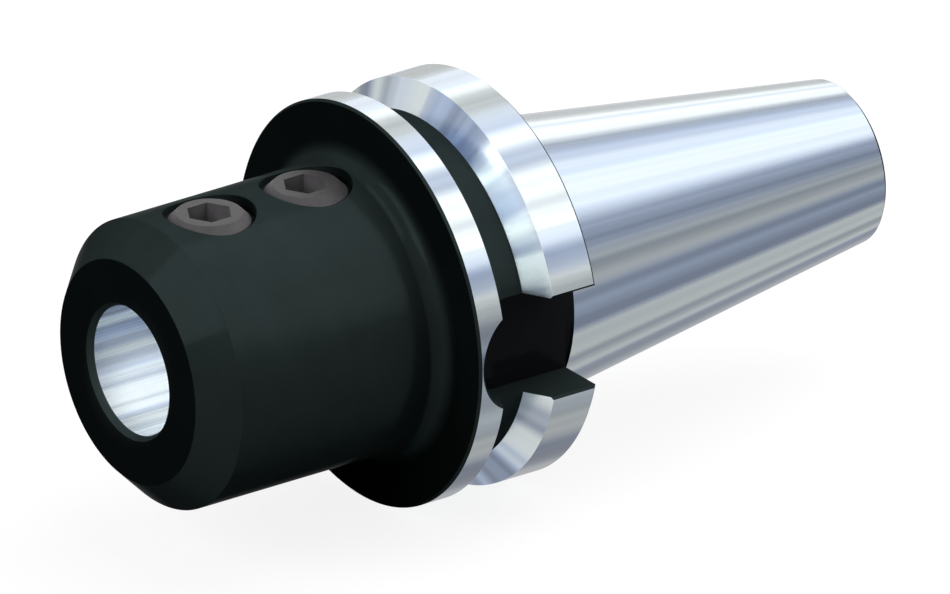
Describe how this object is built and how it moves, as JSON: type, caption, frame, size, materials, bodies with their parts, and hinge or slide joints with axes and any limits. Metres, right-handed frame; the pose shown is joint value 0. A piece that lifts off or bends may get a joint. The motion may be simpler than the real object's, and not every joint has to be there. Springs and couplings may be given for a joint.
{
  "type": "endmill holder",
  "caption": "Side-lock endmill holder: 7/24 taper shank, flange with gripper groove and drive slots, round nose whose bore takes a tool shank clamped by hex socket set screws.",
  "frame": {"origin": "middle of the gauge line, on the spindle axis", "axes": "-X out of the nose along the tool, +X to the small end of the taper, +Z through the set screws; the drive slots face -Y and +Y"},
  "size_m": [0.2068, 0.1, 0.1],
  "materials": {
    "blackened_steel": "black oxide, with the taper, the flange rim, the groove walls and the tool bore ground bright",
    "screw_steel": "phosphated grey"
  },
  "bodies": {
    "holder": {"holder_body": "blackened_steel"},
    "front_screw": {"front_set_screw": "screw_steel"},
    "rear_screw": {"rear_set_screw": "screw_steel"}
  },
  "joints": [
    {"name": "front_screw_travel", "type": "slide", "parent": "holder", "child": "front_screw", "axis": [0, 0, 1], "range_m": [-0.0022, 0.0145]},
    {"name": "rear_screw_travel", "type": "slide", "parent": "holder", "child": "rear_screw", "axis": [0, 0, 1], "range_m": [-0.0022, 0.0145]}
  ]
}
